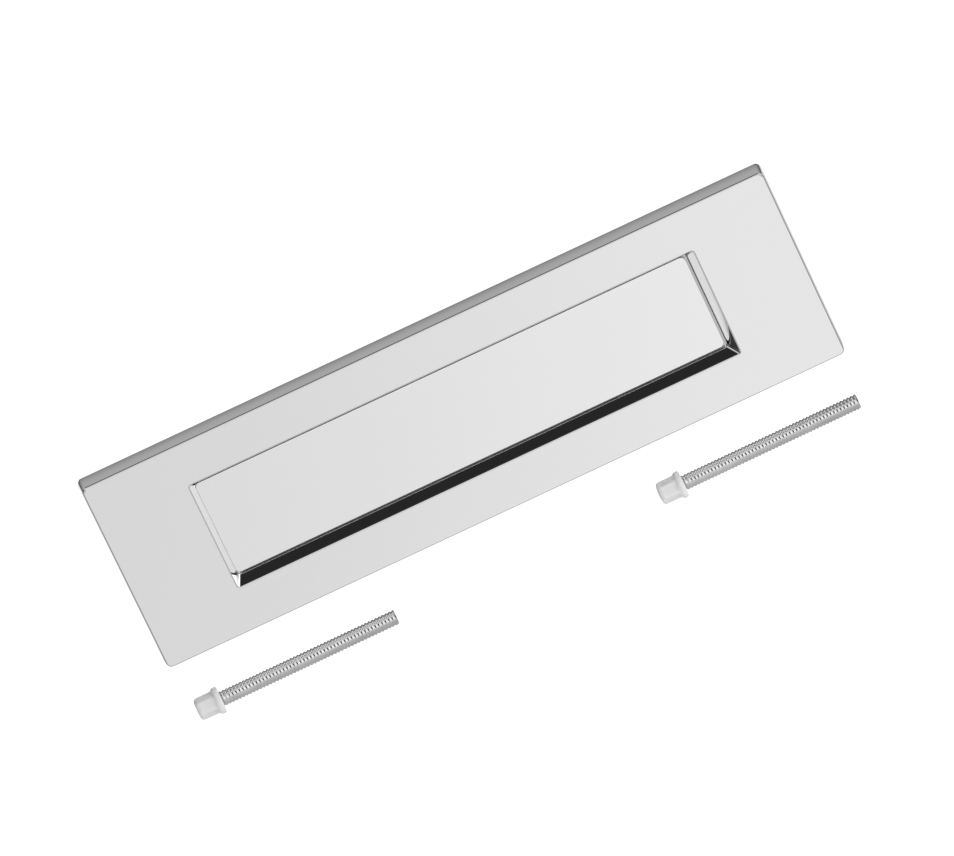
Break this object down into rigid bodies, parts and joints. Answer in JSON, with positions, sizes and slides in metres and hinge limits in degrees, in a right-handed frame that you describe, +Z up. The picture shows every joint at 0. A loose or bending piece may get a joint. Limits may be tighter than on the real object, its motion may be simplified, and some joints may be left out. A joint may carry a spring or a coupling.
{
  "type": "letter plate",
  "caption": "Long rectangular door letter plate with a sprung inward-opening flap in a bevelled opening, and loose threaded fixing studs with flared cap nuts.",
  "frame": {"origin": "centre of the back of the plate's rim, on the face of the door that it is fixed to", "axes": "+X along the plate, to the right as seen from the front; +Y into the door; +Z up"},
  "size_m": [0.254, 0.0304, 0.093],
  "materials": {
    "polished_plate": "polished chrome plating",
    "steel": "bright drawn steel",
    "spring_steel": "spring steel wire",
    "zinc_plated_steel": "bright zinc plating",
    "white_nylon": "moulded nylon"
  },
  "bodies": {
    "plate": {"faceplate": "polished_plate", "hinge_rod": "steel", "left_spring_coil": "spring_steel", "right_spring_coil": "spring_steel", "left_rod_clip": "spring_steel", "right_rod_clip": "spring_steel"},
    "flap": {"flap": "polished_plate", "left_spring_arm": "spring_steel", "right_spring_arm": "spring_steel"},
    "left_stud": {"left_stud": "zinc_plated_steel"},
    "right_stud": {"right_stud": "zinc_plated_steel"},
    "left_nut": {"left_nut": "white_nylon"},
    "right_nut": {"right_nut": "white_nylon"}
  },
  "joints": [
    {"name": "flap_hinge", "type": "hinge", "parent": "plate", "child": "flap", "pos_m": [0, 0.0022, 0.023], "axis": [1, 0, 0], "range_deg": [0, 85], "stiffness_Nm_per_rad": 0.05, "springref_deg": -51.57},
    {"name": "left_stud_lift", "type": "slide", "parent": "plate", "child": "left_stud", "axis": [0, 0, 1], "range_m": [0, 0.05]},
    {"name": "right_stud_lift", "type": "slide", "parent": "plate", "child": "right_stud", "axis": [0, 0, 1], "range_m": [0, 0.05]},
    {"name": "left_nut_unscrew", "type": "slide", "parent": "left_stud", "child": "left_nut", "axis": [-0.9971, -0.0697, 0.0321], "range_m": [0, 0.012]},
    {"name": "right_nut_unscrew", "type": "slide", "parent": "right_stud", "child": "right_nut", "axis": [-0.9971, -0.0697, 0.0321], "range_m": [0, 0.012]}
  ]
}
